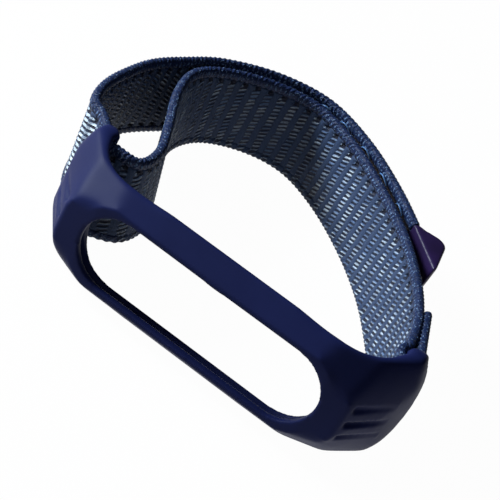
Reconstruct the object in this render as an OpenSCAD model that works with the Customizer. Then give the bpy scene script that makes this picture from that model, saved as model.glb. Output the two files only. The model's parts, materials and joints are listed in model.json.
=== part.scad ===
// Wrist band for a capsule-shaped activity tracker.
// A moulded frame grips the tracker. A woven strap is sewn round the frame's right bar,
// goes round the wrist, turns round the left bar and closes on itself with hook tape.
// X runs along the frame, Y from the tracker's face to the back of the wrist,
// Z along the wrist. The frame lies on its lower side, on z = 0.

/* [Frame] */
// Width of the frame along the wrist
frame_w = 20.4; // [20:0.1:23]
// Half length of the frame, centre to tip
frame_half_len = 33.3; // [32:0.1:36]
// Depth of the front face before the frame's widest line
face_rise = 3.8; // [3:0.1:4]
// Depth of the rails behind the frame's widest line
rail_back = 1; // [0.8:0.1:1.6]
// Distance from a tip back to the crest where the front face ends
tip_run = 6.9; // [6.4:0.1:7.4]
// Depth of a tip behind the frame's widest line
tip_depth = 10.9; // [10.6:0.1:11.5]
// Radius of the curve from crest to tip
wing_r = 30; // [26:0.5:40]
// Half width of the crest between the cut corners of the face
crest_half = 3.8; // [2.5:0.1:5]
// Length of each cut corner along the frame
corner_run = 9; // [7:0.5:12]
// Width of each cut corner across the frame
corner_rise = 4; // [3:0.1:5]
// How far the flanks fall outwards for each millimetre of depth
flank_fall = 0.88; // [0.7:0.02:1]
// Radius of the rounded shoulders, seen from the face, at the crest
shoulder_r = 10.4; // [9:0.1:12]
// How much that radius grows for each millimetre of depth
shoulder_flare = 0.62; // [0.58:0.01:0.7]
// How far the tips are crowned, middle to edge
tip_crown = 2.2; // [0.8:0.1:2.6]

/* [Tracker pocket] */
// Length of the window in the front face
window_len = 44.2; // [42:0.1:45]
// Width of the window
window_w = 13.1; // [12:0.1:13.6]
// Length of the pocket behind the lip
pocket_len = 47.4; // [46:0.1:48]
// Width of the pocket behind the lip
pocket_w = 16.6; // [15.6:0.1:17]
// Width between the rear lips
rear_lip_w = 15.6; // [14.6:0.1:16]
// Thickness of the front lip
lip_t = 1.5; // [1.2:0.1:1.8]
// Thickness of the rear lips
rear_lip_t = 0.9; // [0.7:0.1:1.2]

/* [Strap bars] */
// Radius of the bar that the strap turns round
bar_r = 0.9; // [0.8:0.05:1]
// Distance from a tip in to the bar's centre
bar_inset = 4.6; // [4.4:0.1:5]
// Depth of the bar's centre behind the widest line
bar_depth = 10.3; // [10:0.1:10.6]
// Radius of the ear round each end of the bar
ear_r = 2.15; // [2.1:0.05:2.4]
// Gap between the strap and the bar, and the strap and the slot
slot_clear = 0.15; // [0.1:0.05:0.2]

/* [Grip grooves] */
// Number of grooves on each wing
groove_count = 3; // [1:1:3]
// Spacing of the grooves
groove_pitch = 3; // [2.4:0.1:3.2]
// Width of a groove
groove_w = 1.2; // [0.8:0.1:1.5]
// Depth of a groove
groove_depth = 0.8; // [0.4:0.1:1]
// Angle along the wing at which the grooves start
groove_from = 3; // [2:0.5:5]
// Angle along the wing at which the grooves end
groove_to = 19; // [14:0.5:22]

/* [Strap] */
// Width of the strap
strap_w = 18; // [16:0.1:19]
// Thickness of the strap
strap_t = 1.3; // [1.1:0.1:1.4]
// Width of the plain woven edge on each side
selvage_w = 1.8; // [1.2:0.1:2.5]
// Distance from the bars to the back of the closed band
loop_depth = 58; // [54:0.5:64]
// How far the band sinks at the back as it lies on its side
inner_sag = 1.2; // [0:0.05:1.25]
// How far the outer run sinks at the back
outer_sag = 0.65; // [0:0.05:1.25]
// Least distance between the two runs, centre to centre
layer_pitch = 2.15; // [2:0.05:2.6]
// Share of the second stretch of the wrist run that the sewn end reaches along
turnback_share = 0.1; // [0:0.05:0.5]
// Clear space between the sewn end and the wrist run that it is sewn to
turnback_gap = 0.2; // [0.1:0.05:0.6]
// Distance between the runs where the hook tape lies between them
hook_pitch = 3.1; // [3:0.05:3.6]
// Gap between neighbouring stretches of the free end
link_gap = 0.3; // [0.2:0.05:0.5]

/* [Closure] */
// Width of the hook tape
hook_w = 14.6; // [12:0.1:15]
// Thickness of the hook tape with its hooks
hook_t = 0.85; // [0.6:0.05:0.9]
// Length of the moulded pull tab
tab_len = 12; // [10:0.2:13]
// Height of the pull tab above the strap's middle
tab_rise = 4.2; // [3.4:0.1:4.8]
// Width of one sewn thread
thread_w = 0.5; // [0.3:0.05:0.7]
// Height of a thread above the weave
thread_h = 0.25; // [0.15:0.05:0.35]
// Spacing of the stitches
stitch_pitch = 2.2; // [1.8:0.1:3]
// Spacing of the stitches across the sewn end
tack_pitch = 1.2; // [1:0.1:1.6]

/* [Hidden] */
$fn = 64;

navy = [0.09, 0.09, 0.24];
edge_blue = [0.07, 0.10, 0.25];
weave_grey = [0.52, 0.58, 0.70];
hook_black = [0.05, 0.05, 0.07];
thread_blue = [0.35, 0.55, 0.78];
tab_violet = [0.09, 0.04, 0.18];

mid_z = frame_w / 2;
front_y = -face_rise;
crest_x = frame_half_len - tip_run;
bar_x = frame_half_len - bar_inset;
wrap_r = bar_r + slot_clear + strap_t / 2;
slot_half = strap_w / 2 + slot_clear;
eps = 0.01;

// ---- frame -----------------------------------------------------------------------------

// Centre and angles of the arc that runs from the crest to the tip
crest = [crest_x, front_y + 0.6];
tip = [frame_half_len, tip_depth];
chord = tip - crest;
chord_len = norm(chord);
chord_unit = chord / chord_len;
wing_centre = (crest + tip) / 2
    + sqrt(wing_r * wing_r - chord_len * chord_len / 4) * [-chord_unit[1], chord_unit[0]];
function angle_to(p) = atan2(p[1] - wing_centre[1], p[0] - wing_centre[0]);
wing_from = angle_to(crest);
wing_to = angle_to(tip);
wing_steps = 10;
function wing_point(r, a) = wing_centre + r * [cos(a), sin(a)];
wing_arc = [for (i = [0:wing_steps])
    wing_point(wing_r, wing_from + (wing_to - wing_from) * i / wing_steps)];

ear = [bar_x + 1.2, bar_depth];
slot_r = wrap_r + strap_t / 2 + slot_clear;

// Half of the frame seen along the wrist
module side_half() {
    polygon(concat(
        [[0, front_y], [crest_x - 5, front_y + 0.25]],
        wing_arc,
        [[tip[0] - 0.5, tip[1] + 0.15], [bar_x, bar_depth], [bar_x - 1.1, rail_back + 7.2],
         [bar_x - 1.7, rail_back + 5.4], [bar_x - 2.5, rail_back + 3.8], [bar_x - 3.7, rail_back + 2.3],
         [bar_x - 5.1, rail_back + 1.2], [bar_x - 6.7, rail_back + 0.4], [bar_x - 8.5, rail_back],
         [0, rail_back]]));
    translate(ear) circle(r = ear_r);
}

module both_sides() {
    children();
    mirror([1, 0, 0]) children();
}

// Capsule lying along X, extruded along Y
module capsule(len, width, y_from, y_to) {
    translate([0, y_to, mid_z]) rotate([90, 0, 0]) linear_extrude(y_to - y_from) {
        square([len - width, width], center = true);
        for (side = [-1, 1]) translate([side * (len - width) / 2, 0]) circle(d = width);
    }
}

// Cross-section of the frame: a slope each side of the window, flat sides, and ears that round
// off behind it
module rail_section() {
    half = frame_w / 2;
    points = [
        [front_y, half - 3], [front_y + 0.3, half - 2.6], [-0.7, half - 0.3], [-0.4, half],
        [bar_depth, half], [bar_depth + 1.4, half - 0.3], [bar_depth + 2.2, half - 0.7]];
    rotate([90, 0, 90]) translate([0, mid_z, -frame_half_len - 1])
        linear_extrude(2 * frame_half_len + 2)
            polygon(concat(points, [for (i = [len(points) - 1:-1:0]) [points[i][0], -points[i][1]]]));
}

// Bevel along the back edge of a rail, running out before the ears
module rail_bevel(side) {
    bevel_len = 2 * (bar_x - 10);
    translate([0, rail_back - 0.6, mid_z + side * frame_w / 2]) rotate([side * 45, 0, 0])
        linear_extrude(6, center = true)
            polygon([[-bevel_len / 2, 0], [bevel_len / 2, 0],
                     [bevel_len / 2 + 4, 3], [-bevel_len / 2 - 4, 3]]);
}

// Outline of the frame seen from its face, with crowned ends
module crowned_plan() {
    crown_r = frame_w * frame_w / (8 * tip_crown);
    reach = asin(frame_w / 2 / crown_r);
    end = [for (a = [-reach:reach / 6:reach + eps])
        [frame_half_len - crown_r + crown_r * cos(a), crown_r * sin(a)]];
    translate([0, tip_depth + 4, mid_z]) rotate([90, 0, 0]) linear_extrude(tip_depth + 4 + 2 * face_rise)
        polygon(concat(end, [for (p = end) -p]));
}

// All that lies beyond a plane, through a place p on it with the outward direction n
module beyond(p, n) {
    w = unit(n);
    u = unit(cross([0, 1, 0], w));
    v = cross(w, u);
    multmatrix([
        [u[0], v[0], w[0], p[0]],
        [u[1], v[1], w[1], p[1]],
        [u[2], v[2], w[2], p[2]],
        [0, 0, 0, 1]])
        translate([-25, -25, 0]) cube([50, 50, 20]);
}

// Sloping flank of a wing, at a cut corner of the face
module flank_cut(side) {
    beyond([crest_x + 0.2, front_y, mid_z + side * crest_half],
        unit([corner_rise, 0, side * corner_run]) - [0, flank_fall, 0]);
}

// All that lies outside the rounded shoulders, which widen towards the tips
module shoulder_cut() {
    depth = tip_depth + ear_r - front_y;
    axis_x = crest_x - shoulder_r;
    difference() {
        translate([axis_x, front_y - eps, -eps]) cube([frame_half_len, depth, frame_w + 2 * eps]);
        translate([axis_x, front_y, mid_z]) rotate([-90, 0, 0])
            cylinder(r1 = shoulder_r, r2 = shoulder_r + shoulder_flare * depth, h = depth, $fn = 128);
        translate([axis_x - 1, front_y - 1, mid_z - shoulder_r]) cube([1.1, 1, 2 * shoulder_r]);
    }
}

// Slot round the bar, open towards the wrist, with a flared mouth
module wing_slot() {
    mouth = bar_x + slot_r;
    translate([0, 0, mid_z - slot_half]) linear_extrude(2 * slot_half) {
        translate([bar_x, bar_depth]) circle(r = slot_r);
        polygon([[bar_x - slot_r, bar_depth], [mouth, bar_depth], [mouth + 0.3, tip_depth - 0.2],
                 [mouth + 2, tip_depth + 1], [mouth + 2, 2 * tip_depth], [bar_x - slot_r, 2 * tip_depth]]);
    }
}

// Grooves across the ridge, deepest where they start and running out towards the tip
module grip_grooves() {
    steps = 6;
    function bottom(t) = wing_point(
        wing_r - groove_depth * (1 - t * t), wing_from + between(groove_from, groove_to, t));
    for (i = [0:groove_count - 1])
        translate([0, 0, mid_z + (i - (groove_count - 1) / 2) * groove_pitch - groove_w / 2])
            linear_extrude(groove_w)
                polygon(concat(
                    [for (k = [steps:-1:0]) bottom(k / steps)],
                    [wing_point(wing_r + 0.6, wing_from + groove_from - 3),
                     wing_point(wing_r + 2, wing_from + between(groove_from, groove_to, 0.5)),
                     wing_point(wing_r + 0.6, wing_from + groove_to)]));
}

module frame() {
    color(navy) {
        difference() {
            intersection() {
                linear_extrude(frame_w) both_sides() side_half();
                rail_section();
                crowned_plan();
            }
            capsule(window_len, window_w, front_y - 1, rail_back + 1);
            capsule(pocket_len, pocket_w, front_y + lip_t, rail_back - rear_lip_t);
            capsule(pocket_len - 1, rear_lip_w, front_y + lip_t, rail_back + 6);
            both_sides() {
                wing_slot();
                grip_grooves();
                for (side = [-1, 1]) flank_cut(side);
                shoulder_cut();
            }
            for (side = [-1, 1]) rail_bevel(side);
        }
        both_sides() translate([bar_x, bar_depth, mid_z - slot_half - 0.5])
            cylinder(r = bar_r, h = 2 * slot_half + 1);
    }
}

// ---- strap route -----------------------------------------------------------------------

// Each station is [x, y, lean x, lean y]: the middle of the strap seen along the wrist, and
// how far its lower edge leans from its upper edge.
function depth_at(share) = bar_depth + loop_depth * share;
function across(share) = bar_x * share;

// Run next to the wrist, from the right bar round the back to the left bar
wrist_run = [
    [across(0.9696), depth_at(0.0636), 1, 0],
    [across(0.895), depth_at(0.2101), 0.5, 0.5],
    [across(0.7309), depth_at(0.3848), -0.5, 1.5],
    [across(0.5022), depth_at(0.5658), -1, 2.5],
    [across(0.2039), depth_at(0.7301), -1, 3],
    [across(-0.1442), depth_at(0.8692), -1, 3],
    [across(-0.4674), depth_at(0.9372), -1, 3],
    [across(-0.7608), depth_at(0.8985), -1, 3],
    [across(-1.0143), depth_at(0.7803), 0, 3],
    [across(-1.1039), depth_at(0.6297), 1.5, 1.5],
    [across(-1.0192), depth_at(0.4495), 2.8, 0.5],
    [across(-0.8651), depth_at(0.2753), 2.8, 2],
    [across(-0.7597), depth_at(0.1386), 2.2, 4.2],
    [across(-0.7785), depth_at(0.0186), 1.4, 3.4]
];
wrist_last = len(wrist_run) - 1;

// Loose loop outside the left bar, before the outer run meets the wrist run
free_loop = [
    [-bar_x - wrap_r - 0.1, tip_depth + 0.7, 0, 0],
    [across(-1.1556), depth_at(0.0793), 0.8, 0],
    [across(-1.253), depth_at(0.1207), 1.5, 0],
    [across(-1.3276), depth_at(0.2258), 0.5, 0],
    [across(-1.3604), depth_at(0.3566), -1, 0.5],
    [across(-1.3426), depth_at(0.5083), -1.5, 1.5],
    [across(-1.2431), depth_at(0.6495), -1, 2.5]
];

function flat(v) = [v[0], v[1]];
function unit(v) = v / norm(v);
// Outward side of the wrist run at one of its stations
function out_of(i) =
    let (a = wrist_run[max(i - 1, 0)], b = wrist_run[min(i + 1, wrist_last)], d = unit(flat(b) - flat(a)))
    [d[1], -d[0]];
function beside(i, gap) =
    let (p = flat(wrist_run[i]) + out_of(i) * gap)
    [p[0], p[1], wrist_run[i][2], wrist_run[i][3]];
function between(a, b, t) = a * (1 - t) + b * t;
function turn(side, angle) = [side * bar_x + wrap_r * cos(angle), bar_depth + wrap_r * sin(angle), 0, 0];

turnback_pitch = strap_t + turnback_gap;
turnback_run = [
    beside(1, turnback_pitch) * (1 - turnback_share) + beside(2, turnback_pitch) * turnback_share,
    beside(0, turnback_pitch * 1.2)
];
right_turn = concat([for (a = [0:-30:-180]) turn(1, a)], [[bar_x - wrap_r, bar_depth + 1.1, 0, 0]]);
left_turn = [for (a = [-60:-30:-180]) turn(-1, a)];
// The outer run lies on the wrist run and lifts to make room for the hook tape
outer_run = [for (k = [0:5])
    beside(8 - k, layer_pitch + (hook_pitch - layer_pitch) * smooth(k / 2.6))];

route = concat(turnback_run, right_turn, wrist_run, left_turn, free_loop, outer_run);
route_last = len(route) - 1;
at_right_turn = len(turnback_run);
at_wrist = at_right_turn + len(right_turn);
at_left_turn = at_wrist + len(wrist_run);
at_free_loop = at_left_turn + len(left_turn);
at_outer = at_free_loop + len(free_loop);

function smooth(t) = let (c = min(max(t, 0), 1)) c * c * (3 - 2 * c);
// Sag at a place on the route: nothing at the frame, all of it at the back
function sag_at(u, y) =
    (u < at_free_loop ? inner_sag : outer_sag) * smooth((y - bar_depth - 1) / (loop_depth * 0.75));
function spline(p0, p1, p2, p3, t) =
    0.5 * ((2 * p1) + (p2 - p0) * t + (2 * p0 - 5 * p1 + 4 * p2 - p3) * t * t
        + (3 * p1 - p0 - 3 * p2 + p3) * t * t * t);
function route_at(u) =
    let (i = min(max(floor(u), 0), route_last - 1), t = u - i,
         p0 = i > 0 ? route[i - 1] : 2 * route[0] - route[1],
         p3 = i + 2 <= route_last ? route[i + 2] : 2 * route[i + 1] - route[i])
    spline(p0, route[i], route[i + 1], p3, t);
// The middle of the strap at a place on the route
function middle_at(u) = let (p = route_at(u)) [p[0], p[1], mid_z - sag_at(u, p[1])];
// Along the strap, and across it from the upper edge to the lower
function along_at(u) = unit(middle_at(u + 0.02) - middle_at(u - 0.02));
function across_at(u) = let (p = route_at(u)) unit([p[2], p[3], -strap_w]);
function out_at(u) = unit(cross(along_at(u), across_at(u)));
// A place in the strap: u along the route, v across from the middle, n out of its face
function strap_at(u, v, n) = middle_at(u) + across_at(u) * v + out_at(u) * n;

// ---- pieces cut from the route -----------------------------------------------------------

// Places along the strap where its strips bend, so that strips side by side bend together
bend_u = 0.25;
function bends(u0, u1) = concat(
    [u0], [for (u = [(floor(u0 / bend_u + eps) + 1) * bend_u:bend_u:u1 - eps]) u], [u1]);

// A strip of the strap from u0 to u1 along it, v0 to v1 across it and n0 to n1 through it
module strip(u0, u1, v0, v1, n0, n1) {
    along = bends(u0, u1);
    steps = len(along) - 1;
    points = [for (u = along) each [
        strap_at(u, v0, n0), strap_at(u, v1, n0), strap_at(u, v1, n1), strap_at(u, v0, n1)]];
    walls = [for (k = [0:steps - 1]) for (j = [0:3]) let (a = 4 * k + j, b = 4 * k + (j + 1) % 4)
        each j < 2 ? [[a, b, b + 4], [a, b + 4, a + 4]] : [[a, b, a + 4], [b, b + 4, a + 4]]];
    last = 4 * steps;
    polyhedron(
        points = points,
        faces = concat(walls, [[0, 2, 1], [0, 3, 2]],
            [[last, last + 1, last + 2], [last, last + 2, last + 3]]),
        convexity = 10);
}

half_w = strap_w / 2;
half_t = strap_t / 2;
module web(u0, u1) {
    color(weave_grey) strip(u0, u1, -half_w + selvage_w, half_w - selvage_w, -half_t, half_t);
}
module edge_upper(u0, u1) {
    color(edge_blue) strip(u0, u1, -half_w, -half_w + selvage_w, -half_t, half_t);
}
module edge_lower(u0, u1) {
    color(edge_blue) strip(u0, u1, half_w - selvage_w, half_w, -half_t, half_t);
}
module hook_tape(u0, u1) {
    color(hook_black) strip(u0, u1, -hook_w / 2, hook_w / 2, -half_t - hook_t, -half_t);
}

// Rows of stitches down both sides of the hook tape, on the strap's outer face
module seam(u0, u1) {
    run = norm(middle_at(u1) - middle_at(u0));
    count = max(1, floor(run / stitch_pitch));
    step = (u1 - u0) / count;
    color(thread_blue) for (row = [-1, 1]) for (k = [0:count - 1])
        strip(u0 + step * (k + 0.2), u0 + step * (k + 0.8),
            row * (hook_w / 2 - 1) - thread_w / 2, row * (hook_w / 2 - 1) + thread_w / 2,
            half_t, half_t + thread_h);
}

// Bar tacks across the sewn end of the strap
module bar_tacks() {
    tack_count = floor((strap_w - 2 * selvage_w) / tack_pitch);
    function tack_v(k) = (k - tack_count / 2 + 0.3) * tack_pitch;
    color(thread_blue) for (row = [1, 4]) for (k = [0:tack_count - 1])
        strip(row * bend_u, (row + 1) * bend_u,
            tack_v(k), tack_v(k) + thread_w, half_t, half_t + thread_h);
}

// Lengths of the route that belong to each stretch of the free end
peel_from = [at_outer + 1.6, at_outer + 2.9, at_outer + 4.0];
peel_end = at_outer + 4.75;
station_len = norm(middle_at(at_outer + 3) - middle_at(at_outer + 2));
gap_u = link_gap / station_len;

for (u = peel_from) echo(hinge = strap_at(u, 0, half_t), axis = -across_at(u));

module pull_tab() {
    u = peel_end;
    t = along_at(u);
    n = out_at(u);
    w = across_at(u);
    o = middle_at(u);
    round_r = tab_rise * 0.55;
    color(tab_violet)
        multmatrix([
            [t[0], n[0], w[0], o[0]],
            [t[1], n[1], w[1], o[1]],
            [t[2], n[2], w[2], o[2]],
            [0, 0, 0, 1]])
            translate([0, 0, -half_w]) linear_extrude(strap_w)
                polygon(concat(
                    [[0, -half_t], [0, half_t], [1, half_t + 0.7]],
                    [for (a = [130:-15:55])
                        [tab_len * 0.36 + round_r * cos(a), tab_rise - round_r + round_r * sin(a)]],
                    [[tab_len - 0.4, 0.1], [tab_len, -half_t + 0.2], [tab_len - 0.3, -half_t]]));
}

// ---- nodes -------------------------------------------------------------------------------

frame();
web(0, at_right_turn);  // turnback_web
edge_upper(0, at_right_turn);  // turnback_edge_upper
edge_lower(0, at_right_turn);  // turnback_edge_lower
bar_tacks();  // turnback_stitches
web(at_right_turn, at_wrist);  // right_loop_web
edge_upper(at_right_turn, at_wrist);  // right_loop_edge_upper
edge_lower(at_right_turn, at_wrist);  // right_loop_edge_lower
web(at_wrist, at_left_turn - 1);  // inner_web
edge_upper(at_wrist, at_left_turn - 1);  // inner_edge_upper
edge_lower(at_wrist, at_left_turn - 1);  // inner_edge_lower
web(at_left_turn - 1, at_free_loop);  // left_loop_web
edge_upper(at_left_turn - 1, at_free_loop);  // left_loop_edge_upper
edge_lower(at_left_turn - 1, at_free_loop);  // left_loop_edge_lower
web(at_free_loop, peel_from[0] - gap_u);  // outer_web
edge_upper(at_free_loop, peel_from[0] - gap_u);  // outer_edge_upper
edge_lower(at_free_loop, peel_from[0] - gap_u);  // outer_edge_lower
web(peel_from[0], peel_from[1] - gap_u);  // peel_1_web
edge_upper(peel_from[0], peel_from[1] - gap_u);  // peel_1_edge_upper
edge_lower(peel_from[0], peel_from[1] - gap_u);  // peel_1_edge_lower
hook_tape(peel_from[0] + 0.15, peel_from[1] - gap_u);  // peel_1_hook_tape
seam(peel_from[0] + 0.15, peel_from[1] - gap_u);  // peel_1_stitches
web(peel_from[1], peel_from[2] - gap_u);  // peel_2_web
edge_upper(peel_from[1], peel_from[2] - gap_u);  // peel_2_edge_upper
edge_lower(peel_from[1], peel_from[2] - gap_u);  // peel_2_edge_lower
hook_tape(peel_from[1], peel_from[2] - gap_u);  // peel_2_hook_tape
seam(peel_from[1], peel_from[2] - gap_u);  // peel_2_stitches
web(peel_from[2], peel_end);  // peel_3_web
edge_upper(peel_from[2], peel_end);  // peel_3_edge_upper
edge_lower(peel_from[2], peel_end);  // peel_3_edge_lower
hook_tape(peel_from[2], peel_end);  // peel_3_hook_tape
seam(peel_from[2], peel_end);  // peel_3_stitches
pull_tab();
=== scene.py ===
import json
import math

import bpy
import numpy as np
from mathutils import Matrix, Vector

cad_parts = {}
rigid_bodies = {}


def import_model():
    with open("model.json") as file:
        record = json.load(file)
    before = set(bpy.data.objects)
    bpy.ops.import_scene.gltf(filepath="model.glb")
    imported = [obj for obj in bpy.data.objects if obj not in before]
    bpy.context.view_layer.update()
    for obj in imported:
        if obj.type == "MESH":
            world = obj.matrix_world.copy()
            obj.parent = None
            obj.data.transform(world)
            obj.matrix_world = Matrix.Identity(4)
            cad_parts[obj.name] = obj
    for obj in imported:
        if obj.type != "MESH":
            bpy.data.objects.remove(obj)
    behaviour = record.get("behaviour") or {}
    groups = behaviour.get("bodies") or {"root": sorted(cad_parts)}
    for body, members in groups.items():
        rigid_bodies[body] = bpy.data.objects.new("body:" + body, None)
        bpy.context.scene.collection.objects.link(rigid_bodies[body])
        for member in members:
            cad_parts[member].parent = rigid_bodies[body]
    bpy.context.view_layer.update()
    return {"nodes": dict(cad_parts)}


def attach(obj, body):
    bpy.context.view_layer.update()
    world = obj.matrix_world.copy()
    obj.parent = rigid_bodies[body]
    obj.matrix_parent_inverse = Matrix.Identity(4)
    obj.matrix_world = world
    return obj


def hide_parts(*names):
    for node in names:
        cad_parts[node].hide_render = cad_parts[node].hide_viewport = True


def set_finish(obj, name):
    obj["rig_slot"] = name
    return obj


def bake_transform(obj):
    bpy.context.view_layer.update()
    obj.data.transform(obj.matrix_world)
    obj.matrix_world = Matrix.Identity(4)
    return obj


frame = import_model()

bl_info = {
    "name": "Fitness tracker band",
    "version": (1, 0, 0),
    "blender": (4, 5, 0),
    "location": "3D View > Sidebar > Tracker Band",
    "description": "Moulded tracker frame with a woven hook-and-loop strap, modelled on its CAD frame",
    "category": "Object",
}

MM = 0.001


# ---- sizes and colours --------------------------------------------------------------------

class TrackerBandSizes(bpy.types.PropertyGroup):
    """Sizes of the strap's weave and sewing"""
    rib_pitch: bpy.props.FloatProperty(
        name="Rib pitch", description="Distance between two woven ribs along the strap",
        default=2.65 * MM, min=0.5 * MM, unit="LENGTH")
    float_len: bpy.props.FloatProperty(
        name="Float length", description="Length of the open floats in each rib",
        default=1.7 * MM, min=0.2 * MM, unit="LENGTH")
    float_pitch: bpy.props.FloatProperty(
        name="Float pitch", description="Distance between two floats across the strap",
        default=0.98 * MM, min=0.2 * MM, unit="LENGTH")
    float_slant: bpy.props.FloatProperty(
        name="Float slant", description="How far a float leans across the strap for its length",
        default=0.46, min=-1.0, max=1.0)
    thread_d: bpy.props.FloatProperty(
        name="Sewing thread", description="Diameter of the sewing thread",
        default=0.26 * MM, min=0.1 * MM, unit="LENGTH")
    mould_grain: bpy.props.FloatProperty(
        name="Mould grain", description="Edge length of the moulded pieces' mesh",
        default=0.27 * MM, min=0.15 * MM, unit="LENGTH")


class TrackerBandColours(bpy.types.PropertyGroup):
    """Colours of the frame, the yarns and the closure"""
    navy: bpy.props.FloatVectorProperty(
        name="Frame navy", description="Colour of the moulded frame",
        default=(0.008, 0.012, 0.060), subtype="COLOR", size=3, min=0, max=1)
    ground: bpy.props.FloatVectorProperty(
        name="Weave ground", description="Colour of the smooth bands between the floats",
        default=(0.026, 0.050, 0.115), subtype="COLOR", size=3, min=0, max=1)
    # Painted glint: the floats' pale yarn, made near white for the light they catch
    float_yarn_lit: bpy.props.FloatVectorProperty(
        name="Float yarn", description="Colour of the shiny floats",
        default=(0.78, 0.90, 1.0), subtype="COLOR", size=3, min=0, max=1)
    # Painted shade: the same floats, darker for those that turn away from the light
    float_yarn_shaded: bpy.props.FloatVectorProperty(
        name="Dim yarn", description="Colour of the floats that turn away from the light",
        default=(0.12, 0.21, 0.40), subtype="COLOR", size=3, min=0, max=1)
    # Partly painted shade: the navy yarn between the floats, darkened for the shade down in the gaps
    hole: bpy.props.FloatVectorProperty(
        name="Weave hole", description="Colour of the navy yarn that shows between the floats",
        default=(0.004, 0.006, 0.022), subtype="COLOR", size=3, min=0, max=1)
    selvage: bpy.props.FloatVectorProperty(
        name="Selvage", description="Colour of the plain woven edges",
        default=(0.004, 0.013, 0.055), subtype="COLOR", size=3, min=0, max=1)
    speck: bpy.props.FloatVectorProperty(
        name="Selvage speck", description="Colour of the light yarn that shows in the edges",
        default=(0.24, 0.38, 0.62), subtype="COLOR", size=3, min=0, max=1)
    hook: bpy.props.FloatVectorProperty(
        name="Hook tape", description="Colour of the hook tape",
        default=(0.020, 0.014, 0.013), subtype="COLOR", size=3, min=0, max=1)
    thread: bpy.props.FloatVectorProperty(
        name="Sewing thread", description="Colour of the sewing thread",
        default=(0.045, 0.16, 0.40), subtype="COLOR", size=3, min=0, max=1)
    tab: bpy.props.FloatVectorProperty(
        name="Pull tab", description="Colour of the moulded pull tab",
        default=(0.012, 0.005, 0.036), subtype="COLOR", size=3, min=0, max=1)


def sizes():
    return bpy.context.scene.tracker_band_sizes


def colours():
    return bpy.context.scene.tracker_band_colours


def tone(colour, amount=1.0):
    """A colour made darker or lighter"""
    return tuple(min(1.0, x * amount) for x in colour)


# ---- the strap's route, as in the CAD source, in millimetres ----------------------------------

FRAME_W, FRONT_Y = 20.4, -3.8
BAR_X, BAR_DEPTH, TIP_DEPTH = 28.7, 10.3, 10.9
STRAP_W, STRAP_T, SELVAGE_W = 18.0, 1.3, 1.8
WRAP_R = 0.9 + 0.15 + STRAP_T / 2
LOOP_DEPTH, INNER_SAG, OUTER_SAG = 58.0, 1.2, 0.65
TURNBACK_PITCH, LAYER_PITCH, HOOK_PITCH = 1.5, 2.15, 3.1
LIFT_STATIONS = 2.6  # over which the outer run lifts to make room for the hook tape
HOOK_W, HOOK_T = 14.6, 0.85
MID_Z = FRAME_W / 2


def station(across, depth, lean_x, lean_y):
    """A place on the strap's route: shares of the bar's distance and the loop's depth, then the lean"""
    return [BAR_X * across, BAR_DEPTH + LOOP_DEPTH * depth, lean_x, lean_y]


WRIST_RUN = [
    station(0.9696, 0.0636, 1, 0),
    station(0.895, 0.2101, 0.5, 0.5),
    station(0.7309, 0.3848, -0.5, 1.5),
    station(0.5022, 0.5658, -1, 2.5),
    station(0.2039, 0.7301, -1, 3),
    station(-0.1442, 0.8692, -1, 3),
    station(-0.4674, 0.9372, -1, 3),
    station(-0.7608, 0.8985, -1, 3),
    station(-1.0143, 0.7803, 0, 3),
    station(-1.1039, 0.6297, 1.5, 1.5),
    station(-1.0192, 0.4495, 2.8, 0.5),
    station(-0.8651, 0.2753, 2.8, 2),
    station(-0.7597, 0.1386, 2.2, 4.2),
    station(-0.7785, 0.0186, 1.4, 3.4),
]
FREE_LOOP = [
    [-BAR_X - WRAP_R - 0.1, TIP_DEPTH + 0.7, 0, 0],
    station(-1.1556, 0.0793, 0.8, 0),
    station(-1.253, 0.1207, 1.5, 0),
    station(-1.3276, 0.2258, 0.5, 0),
    station(-1.3604, 0.3566, -1, 0.5),
    station(-1.3426, 0.5083, -1.5, 1.5),
    station(-1.2431, 0.6495, -1, 2.5),
]


def turn(side, degrees):
    a = math.radians(degrees)
    return [side * BAR_X + WRAP_R * math.cos(a), BAR_DEPTH + WRAP_R * math.sin(a), 0, 0]


def beside(i, gap):
    """A station beside the wrist run, on its outer side"""
    last = len(WRIST_RUN) - 1
    a, b = WRIST_RUN[max(i - 1, 0)], WRIST_RUN[min(i + 1, last)]
    d = np.array(b[:2]) - np.array(a[:2])
    d /= np.linalg.norm(d)
    p = WRIST_RUN[i]
    return [p[0] + d[1] * gap, p[1] - d[0] * gap, p[2], p[3]]


def smooth(t):
    c = np.clip(t, 0, 1)
    return c * c * (3 - 2 * c)


TURNBACK_RUN = [
    list(np.array(beside(1, TURNBACK_PITCH)) * 0.9 + np.array(beside(2, TURNBACK_PITCH)) * 0.1),
    beside(0, TURNBACK_PITCH * 1.2)]
RIGHT_TURN = [turn(1, a) for a in range(0, -181, -30)] + [[BAR_X - WRAP_R, BAR_DEPTH + 1.1, 0, 0]]
LEFT_TURN = [turn(-1, a) for a in range(-60, -181, -30)]
OUTER_RUN = [beside(8 - k, LAYER_PITCH + (HOOK_PITCH - LAYER_PITCH) * float(smooth(k / LIFT_STATIONS)))
             for k in range(6)]
ROUTE = np.array(TURNBACK_RUN + RIGHT_TURN + WRIST_RUN + LEFT_TURN + FREE_LOOP + OUTER_RUN, float)
AT_RIGHT_TURN = len(TURNBACK_RUN)
AT_WRIST = AT_RIGHT_TURN + len(RIGHT_TURN)
AT_LEFT_TURN = AT_WRIST + len(WRIST_RUN)
AT_FREE_LOOP = AT_LEFT_TURN + len(LEFT_TURN)
AT_OUTER = AT_FREE_LOOP + len(FREE_LOOP)
PEEL_FROM = [AT_OUTER + 1.6, AT_OUTER + 2.9, AT_OUTER + 4.0]
PEEL_END = AT_OUTER + 4.75


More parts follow.
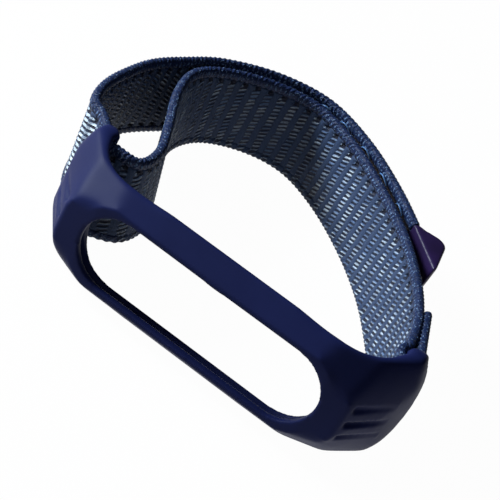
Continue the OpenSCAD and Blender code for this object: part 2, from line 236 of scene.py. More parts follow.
def route_at(u):
    u = np.atleast_1d(np.asarray(u, float))
    last = len(ROUTE) - 1
    i = np.clip(np.floor(u).astype(int), 0, last - 1)
    t = (u - i)[:, None]
    ends = np.vstack([2 * ROUTE[0] - ROUTE[1], ROUTE, 2 * ROUTE[-1] - ROUTE[-2]])
    p0, p1, p2, p3 = ends[i], ends[i + 1], ends[i + 2], ends[i + 3]
    return 0.5 * (2 * p1 + (p2 - p0) * t + (2 * p0 - 5 * p1 + 4 * p2 - p3) * t * t
                  + (3 * p1 - p0 - 3 * p2 + p3) * t ** 3)


def middle_at(u):
    u = np.atleast_1d(np.asarray(u, float))
    p = route_at(u)
    back = smooth((p[:, 1] - BAR_DEPTH - 1) / (LOOP_DEPTH * 0.75))
    sag = np.where(u < AT_FREE_LOOP, INNER_SAG, OUTER_SAG) * back
    return np.column_stack([p[:, 0], p[:, 1], MID_Z - sag])


def unit(v):
    return v / np.linalg.norm(v, axis=-1, keepdims=True)


def strap_axes(u):
    """Middle of the strap, the way across it and the way out of its face, at places u"""
    u = np.atleast_1d(np.asarray(u, float))
    p = route_at(u)
    along = unit(middle_at(u + 0.02) - middle_at(u - 0.02))
    across = unit(np.column_stack([p[:, 2], p[:, 3], np.full(len(u), -STRAP_W)]))
    return middle_at(u), across, unit(np.cross(along, across))


FINE_U = np.linspace(0, PEEL_END, 8001)
RUN_MM = np.concatenate([[0], np.cumsum(np.linalg.norm(np.diff(middle_at(FINE_U), axis=0), axis=1))])


def mm_of(u):
    return float(np.interp(u, FINE_U, RUN_MM))


def u_of(mm):
    return np.interp(mm, RUN_MM, FINE_U)


def strap_points(mm, v, n):
    """Places in the strap: mm along it, v across from the middle, n out of its face"""
    middle, across, out = strap_axes(u_of(mm))
    return middle + across * np.asarray(v)[..., None] + out * np.asarray(n)[..., None]


# ---- modelling helpers ------------------------------------------------------------------------

def deselect():
    if bpy.context.object and bpy.context.object.mode != "OBJECT":
        bpy.ops.object.mode_set(mode="OBJECT")
    bpy.ops.object.select_all(action="DESELECT")


def named(name, finish, slot):
    """Names the active piece, gives it its finish and smooth faces"""
    piece = bpy.context.object
    piece.name = name
    piece.data.name = name
    piece.data.materials.clear()
    piece.data.materials.append(finish)
    bpy.ops.object.shade_smooth()
    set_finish(piece, slot)
    return piece


def sleeve(name, mm_from, mm_to, step, ring, relief, finish, slot):
    """A closed tube along the strap. ring is its outline as (v, n) pairs, relief raises its faces."""
    rows = max(2, round((mm_to - mm_from) / step))
    loops = len(ring)
    deselect()
    bpy.ops.mesh.primitive_grid_add(x_subdivisions=rows, y_subdivisions=loops, size=1)
    piece = bpy.context.object
    count = len(piece.data.vertices)
    flat = np.empty(count * 3)
    piece.data.vertices.foreach_get("co", flat)
    flat = flat.reshape(-1, 3)
    i = np.rint((flat[:, 0] + 0.5) * rows).astype(int)
    j = np.rint((flat[:, 1] + 0.5) * loops).astype(int) % loops
    mm = mm_from + (mm_to - mm_from) * i / rows
    outline = np.array(ring, float)
    v, n = outline[j, 0], outline[j, 1]
    dv, dn = relief(mm, v, n, j / loops)
    middle, across, out = strap_axes(u_of(np.linspace(mm_from, mm_to, rows + 1)))
    co = middle[i] + across[i] * (v + dv)[:, None] + out[i] * (n + dn)[:, None]
    piece.data.vertices.foreach_set("co", (co * MM).ravel())
    cloth = piece.data.attributes.new("strap_mm", "FLOAT_VECTOR", "POINT")
    cloth.data.foreach_set("vector", np.column_stack([mm, v, n]).astype(np.float32).ravel())
    bpy.ops.object.mode_set(mode="EDIT")
    bpy.ops.mesh.select_all(action="SELECT")
    bpy.ops.mesh.remove_doubles(threshold=1e-6)
    bpy.ops.mesh.select_all(action="DESELECT")
    bpy.ops.mesh.select_mode(type="EDGE")
    bpy.ops.mesh.select_non_manifold()
    bpy.ops.mesh.edge_face_add()
    bpy.ops.mesh.select_all(action="SELECT")
    bpy.ops.mesh.normals_make_consistent(inside=False)
    bpy.ops.mesh.select_mode(type="VERT")
    bpy.ops.object.mode_set(mode="OBJECT")
    return named(name, finish, slot)


def threads(name, runs, radius, finish, slot):
    """Round threads along runs of points in millimetres, as one mesh"""
    deselect()
    bpy.ops.curve.primitive_nurbs_path_add()
    piece = bpy.context.object
    curve = piece.data
    curve.splines.clear()
    curve.bevel_depth = radius
    curve.bevel_resolution = 1
    curve.resolution_u = 2
    curve.use_fill_caps = True
    for run in runs:
        spline = curve.splines.new("POLY")
        spline.points.add(len(run) - 1)
        spline.points.foreach_set("co", np.column_stack([np.asarray(run) * MM, np.ones(len(run))]).ravel())
    piece.location = (0, 0, 0)
    bpy.ops.object.convert(target="MESH")
    return named(name, finish, slot)


def moulded(name, node, grain, rounds, finish, slot):
    """A CAD node's shape with the soft edges of a moulding"""
    deselect()
    source = frame["nodes"][node]
    source.select_set(True)
    bpy.context.view_layer.objects.active = source
    bpy.ops.object.duplicate()
    piece = bpy.context.object
    bpy.ops.object.parent_clear(type="CLEAR_KEEP_TRANSFORM")
    bpy.ops.object.mode_set(mode="EDIT")
    bpy.ops.mesh.select_all(action="SELECT")
    bpy.ops.mesh.remove_doubles(threshold=1e-6)
    bpy.ops.object.mode_set(mode="OBJECT")
    remesh = piece.modifiers.new("grain", "REMESH")
    remesh.mode = "VOXEL"
    remesh.voxel_size = grain
    bpy.ops.object.modifier_apply(modifier="grain")
    soften = piece.modifiers.new("soften", "SMOOTH")
    soften.factor = 0.5
    soften.iterations = rounds
    bpy.ops.object.modifier_apply(modifier="soften")
    piece = named(name, finish, slot)
    for key in list(piece.keys()):
        if key.startswith("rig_") and key != "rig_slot":
            del piece[key]
    return piece


# ---- finishes ---------------------------------------------------------------------------------

class Value:
    """A number that varies over a surface, with Python's arithmetic"""

    def __init__(self, finish, socket):
        self.finish, self.socket = finish, socket

    def _math(self, operation, *others, clamp=False):
        node = self.finish.node("ShaderNodeMath", {"operation": operation, "use_clamp": clamp},
                                {k: x for k, x in enumerate((self,) + others)})
        return Value(self.finish, node.outputs[0])

    def _swapped(self, operation, other):
        node = self.finish.node("ShaderNodeMath", {"operation": operation}, {0: other, 1: self})
        return Value(self.finish, node.outputs[0])

    def __add__(self, other): return self._math("ADD", other)
    def __radd__(self, other): return self._swapped("ADD", other)
    def __sub__(self, other): return self._math("SUBTRACT", other)
    def __rsub__(self, other): return self._swapped("SUBTRACT", other)
    def __mul__(self, other): return self._math("MULTIPLY", other)
    def __rmul__(self, other): return self._swapped("MULTIPLY", other)
    def __truediv__(self, other): return self._math("DIVIDE", other)
    def __abs__(self): return self._math("ABSOLUTE")

    def fract(self): return self._math("FRACT")
    def floor(self): return self._math("FLOOR")
    def cos(self): return self._math("COSINE")
    def sin(self): return self._math("SINE")
    def least(self, other): return self._math("MINIMUM", other)
    def most(self, other): return self._math("MAXIMUM", other)

    def ramp(self, low, high):
        """0 below low and 1 above high, eased between"""
        node = self.finish.node(
            "ShaderNodeMapRange", {"interpolation_type": "SMOOTHSTEP"},
            {"Value": self, "From Min": low, "From Max": high, "To Min": 0.0, "To Max": 1.0})
        return Value(self.finish, node.outputs["Result"])


class Finish:
    """One procedural material"""

    def __init__(self, name):
        self.material = bpy.data.materials.new(name)
        self.material.use_nodes = True
        self.tree = self.material.node_tree
        self.shader = self.tree.nodes["Principled BSDF"]

    def node(self, kind, settings=None, inputs=None):
        node = self.tree.nodes.new(kind)
        for key, value in (settings or {}).items():
            setattr(node, key, value)
        for key, value in (inputs or {}).items():
            self.feed(node.inputs[key], value)
        return node

    def feed(self, socket, value):
        if isinstance(value, Value):
            value = value.socket
        if isinstance(value, bpy.types.NodeSocket):
            self.tree.links.new(value, socket)
        elif socket.type == "RGBA":
            socket.default_value = tuple(value) + (1.0,) * (4 - len(value))
        else:
            socket.default_value = value

    def mix(self, amount, low, high):
        """A colour between two colours"""
        node = self.node("ShaderNodeMix", {"data_type": "RGBA"}, {0: amount, 6: low, 7: high})
        return node.outputs[2]

    def cloth(self):
        """Millimetres along the strap, across it and out of it"""
        place = self.node("ShaderNodeAttribute", {"attribute_name": "strap_mm"})
        parts = self.node("ShaderNodeSeparateXYZ", {}, {0: place.outputs["Vector"]})
        return [Value(self, parts.outputs[k]) for k in range(3)]

    def point(self, x, y, z=0.0):
        return self.node("ShaderNodeCombineXYZ", {}, {0: x, 1: y, 2: z}).outputs[0]

    def chance(self, x, y):
        """The same random number wherever x and y are the same"""
        noise = self.node("ShaderNodeTexWhiteNoise", {"noise_dimensions": "2D"}, {"Vector": self.point(x, y)})
        return Value(self, noise.outputs["Value"])

    def object_place(self):
        return self.node("ShaderNodeTexCoord").outputs["Object"]

    def noise(self, place, scale, detail=3.0):
        noise = self.node("ShaderNodeTexNoise", {}, {"Vector": place, "Scale": scale, "Detail": detail})
        return Value(self, noise.outputs[0])

    def bump(self, height, distance, strength=1.0):
        node = self.node("ShaderNodeBump", {}, {"Height": height, "Distance": distance, "Strength": strength})
        return node.outputs["Normal"]

    def set(self, **sockets):
        for key, value in sockets.items():
            self.feed(self.shader.inputs[key.replace("_", " ")], value)
        return self.material


def frame_finish():
    c, f = colours(), Finish("frame_moulded_navy")
    where = f.object_place()
    cloud = f.noise(where, 60.0)
    grain = f.noise(where, 5200.0, 2.0)
    worn = f.noise(where, 240.0, 4.0)
    base = f.mix(cloud.ramp(0.3, 0.75), tone(c.navy), tone(c.navy, 1.28))
    return f.set(Base_Color=base, Roughness=0.46 + worn * 0.14, Specular_IOR_Level=0.09,
                 Normal=f.bump(grain, 0.00004, 0.35))


def weave_finish():
    c, s, f = colours(), sizes(), Finish("strap_ribbed_weave")
    along, across, out = f.cloth()
    pitch, length, width = s.rib_pitch / MM, s.float_len / MM, s.float_pitch / MM
    wobble = f.noise(f.point(along, across, out), 0.7, 2.0) * 0.9 - 0.45
    rib = (along + wobble) / pitch
    t = rib.fract() * pitch
    row = rib.floor()
    lane = (across + wobble - t * s.float_slant) / width + f.chance(row, 3.5) * 0.5
    luck = f.chance(row, lane.floor())
    patch = f.noise(f.point(along, across * 1.6, out), 0.33, 2.0).ramp(0.32, 0.62)
    luck2 = f.chance(row + 0.37, lane.floor() * 1.7)
    # Painted light: the outer face of the free loop and outer run, which turns to the key lamp, gets more,
    # longer and whiter floats
    lit_outer_face = along.ramp(mm_of(AT_LEFT_TURN), mm_of(AT_FREE_LOOP) + 3) * out.ramp(0.0, 0.3)
    swell = (t * (math.pi / length)).sin().most(0.0) * (1 - t.ramp(length - 0.02, length + 0.04))
    ridge = (lane * (2 * math.pi)).cos() * 0.5 + 0.5
    open_part = (swell + lit_outer_face * 0.3).ramp(0.08, 0.5)
    middle = (1 - (across * -1.0).ramp(6.5, 6.8)) * (1 - across.ramp(8.5, 8.8))
    bright = (ridge + lit_outer_face * 0.22).ramp(0.5, 0.84) * open_part * middle
    dark = (1 - ridge.ramp(0.26, 0.66)) * open_part * middle
    fibre = f.noise(f.point(along * 0.8, across * 5.0, out), 3.4, 3.0)
    eye_across = (abs(across) - EYE_V) / 0.5
    eye_along = (t - EYE_MM) / 0.62
    upper_side = (across * -1.0).ramp(5.0, 5.5) + (out * -1.0).ramp(0.1, 0.3)
    eye = (1 - (eye_across * eye_across + eye_along * eye_along).ramp(0.5, 1.2)) * upper_side.least(1.0)
    fuzz = f.noise(f.point(along, across * 3.0, out), 5.0, 4.0)
    ground = f.mix(fuzz.ramp(0.25, 0.8), tone(c.ground, 0.6), tone(c.ground, 1.5))
    # Each float is painted lit, near white with a painted glint, or shaded, at random, and lit more often on
    # the outer face
    yarn = f.mix((luck * luck + lit_outer_face * 0.6).least(1.0), tone(c.float_yarn_shaded), tone(c.float_yarn_lit))
    shown = (0.25 + luck2 * 0.5 + patch * 0.35 + lit_outer_face * 0.5).least(1.0) * fibre.ramp(0.2, 0.55)
    colour = f.mix(bright * shown, ground, yarn)
    # The gaps between the floats and the row of eyes take the hole colour: navy yarn with painted shade
    colour = f.mix(dark * (0.75 + luck * 0.25), colour, tone(c.hole))
    colour = f.mix(eye * 0.96, colour, tone(c.hole))
    height = bright * 0.7 - dark * 0.9 - eye * 1.2 + fuzz * 0.25 + fibre * 0.3
    return f.set(Base_Color=colour, Roughness=0.62 - bright * 0.27, Specular_IOR_Level=0.22,
                 Sheen_Weight=0.03, Sheen_Roughness=0.4, Normal=f.bump(height, 0.00026, 0.85))


def selvage_finish():
    c, f = colours(), Finish("strap_selvage")
    along, across, out = f.cloth()
    turn_in = across + out * 1.3
    rope = ((along - turn_in * 0.5) / 0.8)
    strand = (rope * (2 * math.pi)).cos() * 0.5 + 0.5
    cell = f.node("ShaderNodeTexVoronoi", {"feature": "F1"},
                  {"Vector": f.point(along, across * 1.1, out * 1.1), "Scale": 2.7, "Randomness": 0.9})
    near = Value(f, cell.outputs["Distance"])
    pick = f.node("ShaderNodeSeparateColor", {}, {0: cell.outputs["Color"]})
    lit = Value(f, pick.outputs[0]).ramp(0.62, 0.92) * (1 - near.ramp(0.22, 0.5))
    dash = (along / 0.95).fract()
    stitched = (1 - abs(dash - 0.5).ramp(0.10, 0.24)) * (1 - abs(abs(across) - 8.25).ramp(0.25, 0.5))
    fuzz = f.noise(f.point(along, across, out), 6.0, 4.0)
    base = f.mix(fuzz.ramp(0.3, 0.75), tone(c.selvage, 0.5), tone(c.selvage, 1.9))
    colour = f.mix(lit * 0.55, base, tone(c.speck))
    colour = f.mix(stitched * Value(f, pick.outputs[1]).ramp(0.3, 0.9) * 0.5, colour, tone(c.speck))
    height = strand * 0.5 + lit * 0.4 - near * 0.6
    return f.set(Base_Color=colour, Roughness=0.55, Specular_IOR_Level=0.2, Sheen_Weight=0.02,
                 Normal=f.bump(height, 0.00016, 0.8))


def hook_finish():
    c, f = colours(), Finish("closure_hook_tape")
    along, across, out = f.cloth()
    cell = f.node("ShaderNodeTexVoronoi", {"feature": "F1"},
                  {"Vector": f.point(along, across, out), "Scale": 1.6, "Randomness": 0.45})
    near = Value(f, cell.outputs["Distance"])
    tip = 1 - near.ramp(0.12, 0.42)
    fuzz = f.noise(f.point(along, across, out), 4.0, 4.0)
    base = f.mix(fuzz.ramp(0.3, 0.7), tone(c.hook), tone(c.hook, 2.2))
    colour = f.mix(tip * 0.6, base, (0.10, 0.065, 0.055))
    return f.set(Base_Color=colour, Roughness=0.5 - tip * 0.15, Normal=f.bump(tip, 0.0003, 0.9))


def thread_finish():
    c, f = colours(), Finish("sewing_thread_blue")
    where = f.object_place()
    twist = f.node("ShaderNodeTexWave", {"wave_type": "BANDS", "bands_direction": "DIAGONAL"},
                   {"Vector": where, "Scale": 900.0, "Distortion": 2.0})
    strand = Value(f, twist.outputs["Fac"])
    base = f.mix(strand, tone(c.thread, 0.6), tone(c.thread, 1.25))
    return f.set(Base_Color=base, Roughness=0.45, Sheen_Weight=0.2, Normal=f.bump(strand, 0.00005, 0.6))


def tab_finish():
    c, f = colours(), Finish("pull_tab_gloss")
    where = f.object_place()
    cloud = f.noise(where, 180.0)
    grain = f.noise(where, 1400.0, 2.0)
    base = f.mix(cloud.ramp(0.3, 0.7), tone(c.tab), tone(c.tab, 1.5))
    return f.set(Base_Color=base, Roughness=0.42 + grain * 0.1, Coat_Weight=0.12, Coat_Roughness=0.3,
                 Specular_IOR_Level=0.3,
                 Normal=f.bump(grain, 0.00003, 0.3))


def finish(name):
    makers = {"frame_moulded_navy": frame_finish, "strap_ribbed_weave": weave_finish,
              "strap_selvage": selvage_finish, "closure_hook_tape": hook_finish,
              "sewing_thread_blue": thread_finish, "pull_tab_gloss": tab_finish}
    return bpy.data.materials.get(name) or makers[name]()


# ---- strap pieces -------------------------------------------------------------------------------

WEB_HALF = STRAP_W / 2 - SELVAGE_W
EYE_V = 6.75  # row of holes beside the woven edge, from the strap's middle
EYE_MM = 0.8  # middle of a hole, from the start of its rib


def web_ring():
    """Outline of the ribbed middle of the strap: fine across both faces"""
    lane = sizes().float_pitch / MM / 4
    count = round(2 * WEB_HALF / lane)
    v = np.linspace(-WEB_HALF, WEB_HALF, count + 1)
    top = [(x, STRAP_T / 2 - 0.05) for x in v]
    return top + [(x, -y) for x, y in reversed(top)]


def web_relief(mm, v, n, _share):
    s = sizes()
    pitch, length, width = s.rib_pitch / MM, s.float_len / MM, s.float_pitch / MM
    t = mm % pitch
    swell = np.where(t < length, np.sin(np.pi * np.clip(t / length, 0, 1)), 0)
    lane = (v - t * s.float_slant) / width
    floats = swell * (0.13 * np.cos(2 * np.pi * lane) + 0.02)
    band = np.where(t >= length, np.sin(np.pi * (t - length) / (pitch - length)), 0) * 0.09
    eye = np.exp(-((np.abs(v) - EYE_V) / 0.42) ** 2 - ((t - EYE_MM) / 0.55) ** 2) * 0.45
    eye = np.where((v < 0) | (n < 0), eye, 0)
    rise = floats + band - eye
    return np.zeros_like(v), np.sign(n) * rise


def edge_ring(side):
    """Outline of a plain woven edge: round outside, joined to the ribbed middle inside"""
    middle, half_v, half_n = side * (STRAP_W / 2 - SELVAGE_W / 2), SELVAGE_W / 2 + 0.06, STRAP_T / 2 + 0.12
    points = []
    for k in range(18):
        a = 2 * math.pi * k / 18
        c, s = math.cos(a), math.sin(a)
        points.append((middle + half_v * math.copysign(abs(c) ** 0.75, c),
                       half_n * math.copysign(abs(s) ** 0.8, s)))
    return points


def edge_relief(mm, v, n, share):
    turn_in = v + n * 1.3
    rope = np.cos(2 * np.pi * (mm - turn_in * 0.5) / 1.1) * 0.085
    angle = 2 * np.pi * share
    return np.cos(angle) * rope, np.sin(angle) * rope


def tape_ring():
    count = 58
    v = np.linspace(-HOOK_W / 2, HOOK_W / 2, count + 1)
    back = [(x, -STRAP_T / 2 + 0.02) for x in v]
    return back + [(x, -STRAP_T / 2 - HOOK_T + 0.25) for x in reversed(v)]


def tape_relief(mm, v, n, _share):
    hooks = np.maximum(0, np.cos(2 * np.pi * mm / 1.0) * np.cos(2 * np.pi * v / 1.0)) ** 0.7
    return np.zeros_like(v), np.where(n < -STRAP_T / 2 - 0.1, -0.25 * hooks, 0)


def strap_stretch(key, u_from, u_to, lower_finish="strap_selvage"):
    """The ribbed middle and both edges of one stretch of the strap, named as in the CAD"""
    a, b = mm_of(u_from), mm_of(u_to)
    web = sleeve("strap_weave_" + key, a, b, 0.31, web_ring(), web_relief,
                 finish("strap_ribbed_weave"), "strap_weave")
    upper = sleeve("strap_edge_upper_" + key, a, b, 0.2, edge_ring(-1), edge_relief,
                   finish("strap_selvage"), "selvage_yarn")
    lower = sleeve("strap_edge_lower_" + key, a, b, 0.2, edge_ring(1), edge_relief,
                   finish(lower_finish), "selvage_yarn")
    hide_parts(key + "_web")
    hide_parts(key + "_edge_upper")
    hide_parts(key + "_edge_lower")
    return [web, upper, lower]


BEND_REACH = 2.2  # how far to each side of a hinge bend_at places the bend's ends, which it does not use


def bend_at(pieces, k):
    """Bakes the pieces' transforms into their meshes; the ends of a bend around the free end's hinge number k
    are worked out but not used
    """
    names = ["band", "peel_1", "peel_2", "peel_3"]
    mm = mm_of(PEEL_FROM[k])
    start, end = (strap_points([mm + d], [0.0], [0.0])[0] * MM for d in (-BEND_REACH, BEND_REACH))
    for piece in pieces:
        names[k + 1]
        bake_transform(piece)


PEEL_MID = [AT_OUTER + 0.8, (PEEL_FROM[0] + PEEL_FROM[1]) / 2, (PEEL_FROM[1] + PEEL_FROM[2]) / 2, PEEL_END]


POCKET_HALF_W, POCKET_STRAIGHT = 8.3, 15.4


def soft_skin(x, y, z):
    """How much the moulding rounds the frame: fully on the wings, not at the slots and grooves"""
    across = np.abs(z - MID_Z)
    wing = smooth((np.abs(x) - 11) / 6)
    beyond_slot = 8 * (across > STRAP_W / 2 + 0.1)
    to_bar = np.hypot(np.abs(x) - BAR_X, y - BAR_DEPTH)
    to_mouth = np.where(y > BAR_DEPTH, np.abs(np.abs(x) - BAR_X - 1), to_bar)
    slot = np.minimum(to_bar, to_mouth) + beyond_slot
    pocket = POCKET_HALF_W - np.hypot(np.maximum(np.abs(x) - POCKET_STRAIGHT, 0), across)
    grooves = (across < 4.1) & (np.abs(x) > 23) & (y < 5.5)
    return wing * smooth((slot - 2.7) / 1.1) * (1 - smooth((pocket + 0.9) / 0.8)) * ~grooves


def soften_wings(piece):
    """Rounds the frame's wings as soft_skin says, in ten degrees of weight"""
    place = np.empty(len(piece.data.vertices) * 3)
    piece.data.vertices.foreach_get("co", place)
    amount = soft_skin(*(place.reshape(-1, 3) / MM).T)
    group = piece.vertex_groups.new(name="soft_skin")
    for step in range(1, 11):
        chosen = np.flatnonzero(np.rint(amount * 10) == step).tolist()
        group.add(chosen, step / 10, "REPLACE")
    rounded = piece.modifiers.new("rounded", "SMOOTH")
    rounded.vertex_group = group.name
    rounded.factor = 0.5
    rounded.iterations = 90
    bpy.ops.object.modifier_apply(modifier="rounded")


class TRACKER_OT_frame(bpy.types.Operator):
    """Moulded frame that grips the tracker"""
    bl_idname = "tracker_band.frame"
    bl_label = "Moulded frame"

    def execute(self, context):
        piece = moulded("moulded_frame", "frame", sizes().mould_grain, 4,
                        finish("frame_moulded_navy"), "frame_tpu")
        soften_wings(piece)
        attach(piece, "band")
        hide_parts("frame")
        return {"FINISHED"}


class TRACKER_OT_strap(bpy.types.Operator):
    """Woven strap from its sewn end to where the free end starts to peel"""
    bl_idname = "tracker_band.strap"
    bl_label = "Woven strap"

    def execute(self, context):
        stretches = [
            ("turnback", 0, AT_RIGHT_TURN),
            ("right_loop", AT_RIGHT_TURN, AT_WRIST),
            ("inner", AT_WRIST, AT_LEFT_TURN - 1),
            ("left_loop", AT_LEFT_TURN - 1, AT_FREE_LOOP),
            ("outer", AT_FREE_LOOP, PEEL_MID[0])]
        for key, a, b in stretches:
            lower_finish = "strap_ribbed_weave" if key == "inner" else "strap_selvage"
            for piece in strap_stretch(key, a, b, lower_finish):
                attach(piece, "band")
        return {"FINISHED"}


class TRACKER_OT_free_end(bpy.types.Operator):
    """Free end of the strap, in three stretches split at its three hinges"""
    bl_idname = "tracker_band.free_end"
    bl_label = "Peeling free end"

    def execute(self, context):
        for k in range(3):
            bend_at(strap_stretch("peel_%d" % (k + 1), PEEL_MID[k], PEEL_MID[k + 1]), k)
        return {"FINISHED"}


class TRACKER_OT_hook_tape(bpy.types.Operator):
    """Hook tape sewn to the inner face of the free end"""
    bl_idname = "tracker_band.hook_tape"
    bl_label = "Hook tape"

    def execute(self, context):
        spans = [(PEEL_FROM[0] + 0.15, PEEL_MID[1], None, ["peel_1_hook_tape"]),
                 (PEEL_MID[1], PEEL_MID[2], 1, ["peel_2_hook_tape"]),
                 (PEEL_MID[2], PEEL_END, 2, ["peel_3_hook_tape"])]
        for k, (a, b, hinge, nodes) in enumerate(spans):
            piece = sleeve("hook_tape_%d" % (k + 1), mm_of(a), mm_of(b), 0.25, tape_ring(), tape_relief,
                           finish("closure_hook_tape"), "hook_tape")
            if hinge is None:
                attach(piece, "peel_1")
            else:
                bend_at([piece], hinge)
            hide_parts(*nodes)
        return {"FINISHED"}


STITCH_STEP, TACK_STEP = 2.2, 1.2
STITCH_LIFT = 0.24
LOOP_STEP, LOOP_REACH = 6.6, 3.6
TACK_ROWS, ROW_U = (1, 4), 0.25  # bar tacks: rows counted in steps of the route


def stitch(mm_from, mm_to, v, lift):
    """One stitch on the outer face, sunk at both ends"""
    t = np.linspace(0, 1, 7)
    n = STRAP_T / 2 - 0.08 + lift * np.sin(np.pi * t)
    return strap_points(mm_from + (mm_to - mm_from) * t, np.full(7, v), n)


def tape_loop(mm, reach):
    """A slack loop of seam thread at the tape's upper edge"""
    t = np.linspace(0, 1, 13)
    v = -HOOK_W / 2 + 0.2 - 1.25 * np.sin(np.pi * t) ** 0.8
    n = -STRAP_T / 2 - HOOK_T * (0.25 + 0.75 * np.sin(np.pi * t))
    return strap_points(mm + reach * t, v, n)


class TRACKER_OT_sewing(bpy.types.Operator):
    """Seams along the hook tape and bar tacks across the sewn end"""
    bl_idname = "tracker_band.sewing"
    bl_label = "Sewing thread"

    def execute(self, context):
        radius = sizes().thread_d / 2
        blue = finish("sewing_thread_blue")
        spans = [(PEEL_FROM[0] + 0.15, PEEL_MID[1], None, "peel_1_stitches"),
                 (PEEL_MID[1], PEEL_MID[2], 1, "peel_2_stitches"),
                 (PEEL_MID[2], PEEL_END - 0.05, 2, "peel_3_stitches")]
        for k, (a, b, hinge, node) in enumerate(spans):
            first, last = mm_of(a), mm_of(b)
            count = max(1, int((last - first) / STITCH_STEP))
            step = (last - first) / count
            runs = [stitch(first + step * (i + 0.15), first + step * (i + 0.85),
                           side * (HOOK_W / 2 - 1), STITCH_LIFT)
                    for i in range(count) for side in (-1, 1)]
            loops = max(1, int((last - first) / LOOP_STEP))
            gap = (last - first) / loops
            runs += [tape_loop(first + gap * (i + 0.2), LOOP_REACH) for i in range(loops)]
            piece = threads("tape_seam_%d" % (k + 1), runs, radius, blue, "sewing_thread")
            if hinge is None:
                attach(piece, "peel_1")
            else:
                bend_at([piece], hinge)
            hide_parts(node)
        runs = []
        for row in TACK_ROWS:
            a, b = mm_of(row * ROW_U), mm_of((row + 1) * ROW_U)
            runs += [stitch(a, b, (i - 6 + 0.5) * TACK_STEP, STITCH_LIFT) for i in range(12)]
        tacks = threads("turnback_tacks", runs, radius, blue, "sewing_thread")
        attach(tacks, "band")
        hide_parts("turnback_stitches")
        return {"FINISHED"}


class TRACKER_OT_pull_tab(bpy.types.Operator):
    """Glossy pull tab on the strap's free end"""
    bl_idname = "tracker_band.pull_tab"
    bl_label = "Pull tab"

    def execute(self, context):
        piece = moulded("glossy_pull_tab", "pull_tab", 0.2 * MM, 26,
                        finish("pull_tab_gloss"), "tab_gloss")
        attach(piece, "peel_3")
        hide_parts("pull_tab")
        return {"FINISHED"}


# ---- stage ----------------------------------------------------------------------------------------

CAMERA = {"azimuth": 0.1984478, "elevation": 0.6184767, "roll": 0.5240203, "distance": 241.7911831,
          "lens": 108.0, "shift": ((250 - 194.787954) / 500, (321.131512 - 250) / 500)}


def add_camera():
    az, el, roll = CAMERA["azimuth"], CAMERA["elevation"], CAMERA["roll"]
    back = Vector((math.sin(az) * math.cos(el), -math.cos(az) * math.cos(el), math.sin(el)))
    right = (-back).cross(Vector((0, 0, 1))).normalized()
    up = right.cross(-back)
    r = math.cos(roll) * right + math.sin(roll) * up
    u = -math.sin(roll) * right + math.cos(roll) * up
    reach = Vector((0, 22, 0)).dot(-back) - CAMERA["distance"]
    eye = (-back * reach + Vector((0, FRONT_Y, MID_Z))) * MM
    bpy.ops.object.camera_add()
    camera = bpy.context.object
    camera.name = "studio_camera"
    camera.matrix_world = Matrix((
        (r.x, u.x, back.x, eye.x), (r.y, u.y, back.y, eye.y), (r.z, u.z, back.z, eye.z), (0, 0, 0, 1)))
    camera.data.lens = CAMERA["lens"]
    camera.data.sensor_width = 36.0
    camera.data.shift_x, camera.data.shift_y = CAMERA["shift"]
    camera.data.clip_start = 0.01
    bpy.context.scene.camera = camera


def add_lamp(name, place, aim, size, power, colour):
    bpy.ops.object.light_add(type="AREA", location=place)
    lamp = bpy.context.object
    lamp.name = name
    lamp.rotation_euler = (Vector(place) - Vector(aim)).to_track_quat("Z", "Y").to_euler()
    lamp.data.shape = "DISK"
    lamp.data.size = size
    lamp.data.energy = power
    lamp.data.color = colour


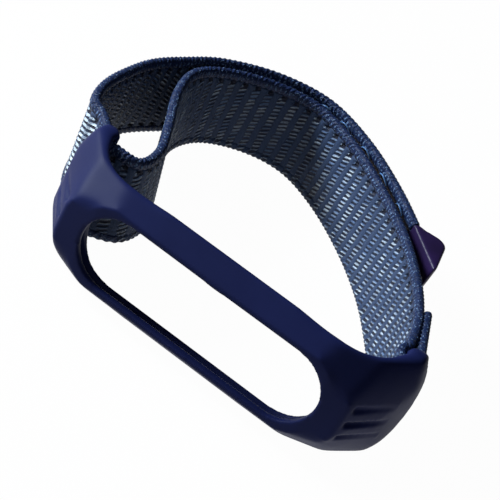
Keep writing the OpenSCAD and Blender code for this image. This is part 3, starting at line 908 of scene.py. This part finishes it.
class TRACKER_OT_stage(bpy.types.Operator):
    """Pale floor, soft studio light and the camera"""
    bl_idname = "tracker_band.stage"
    bl_label = "Stage"

    def execute(self, context):
        deselect()
        bpy.ops.mesh.primitive_circle_add(vertices=96, radius=1.6, fill_type="NGON",
                                          location=(0, 0.03, -0.00002))
        floor = bpy.context.object
        floor.name = "studio_floor"
        bpy.ops.object.transform_apply(location=True, rotation=True, scale=True)
        f = Finish("floor_pale_paper")
        paper = f.noise(f.object_place(), 40.0)
        f.set(Base_Color=f.mix(paper, (0.33, 0.32, 0.31), (0.36, 0.35, 0.34)), Roughness=0.8)
        rays = f.node("ShaderNodeLightPath")
        seen = Value(f, rays.outputs["Is Camera Ray"]).most(Value(f, rays.outputs["Is Glossy Ray"]))
        white = f.node("ShaderNodeEmission", {}, {"Color": (1, 1, 1), "Strength": 1.03})
        blend = f.node("ShaderNodeMixShader", {},
                       {0: seen * 0.95, 1: f.shader.outputs[0], 2: white.outputs[0]})
        f.feed(f.tree.nodes["Material Output"].inputs["Surface"], blend.outputs[0])
        floor.data.materials.append(f.material)
        world = bpy.data.worlds.new("studio_world")
        bpy.context.scene.world = world
        world.use_nodes = True
        tree = world.node_tree
        tree.nodes.clear()
        out = tree.nodes.new("ShaderNodeOutputWorld")
        path = tree.nodes.new("ShaderNodeLightPath")
        strength = tree.nodes.new("ShaderNodeMapRange")
        strength.inputs["To Min"].default_value = 0.03
        strength.inputs["To Max"].default_value = 1.0
        tree.links.new(path.outputs["Is Camera Ray"], strength.inputs["Value"])
        sky = tree.nodes.new("ShaderNodeBackground")
        sky.inputs["Color"].default_value = (1, 1, 1, 1)
        tree.links.new(strength.outputs["Result"], sky.inputs["Strength"])
        tree.links.new(sky.outputs[0], out.inputs["Surface"])
        aim = (0.0, 0.03, 0.01)
        add_lamp("key_lamp", (-0.55, -0.02, 0.30), aim, 0.22, 7.4, (0.84, 0.93, 1.0))
        add_lamp("soft_lamp", (0.10, -0.50, 0.45), aim, 0.60, 0.5, (1.0, 0.98, 0.95))
        add_camera()
        context.scene.view_settings.view_transform = "Standard"
        return {"FINISHED"}


class TRACKER_PT_panel(bpy.types.Panel):
    """Steps that build the band, in order"""
    bl_label = "Tracker Band"
    bl_idname = "TRACKER_PT_panel"
    bl_space_type = "VIEW_3D"
    bl_region_type = "UI"
    bl_category = "Tracker Band"

    def draw(self, context):
        for group in (context.scene.tracker_band_sizes, context.scene.tracker_band_colours):
            column = self.layout.column()
            for key in group.bl_rna.properties.keys():
                if key not in ("rna_type", "name"):
                    column.prop(group, key)
        column = self.layout.column()
        for operator in OPERATORS:
            column.operator(operator.bl_idname)


OPERATORS = (TRACKER_OT_stage, TRACKER_OT_frame, TRACKER_OT_strap, TRACKER_OT_free_end,
             TRACKER_OT_hook_tape, TRACKER_OT_sewing, TRACKER_OT_pull_tab)
CLASSES = (TrackerBandSizes, TrackerBandColours) + OPERATORS + (TRACKER_PT_panel,)


def register():
    for cls in CLASSES:
        bpy.utils.register_class(cls)
    bpy.types.Scene.tracker_band_sizes = bpy.props.PointerProperty(type=TrackerBandSizes)
    bpy.types.Scene.tracker_band_colours = bpy.props.PointerProperty(type=TrackerBandColours)


def unregister():
    del bpy.types.Scene.tracker_band_colours
    del bpy.types.Scene.tracker_band_sizes
    for cls in reversed(CLASSES):
        bpy.utils.unregister_class(cls)


def main():
    register()
    for operator in OPERATORS:
        group, name = operator.bl_idname.split(".")
        getattr(getattr(bpy.ops, group), name)()


if __name__ == "__main__":
    main()
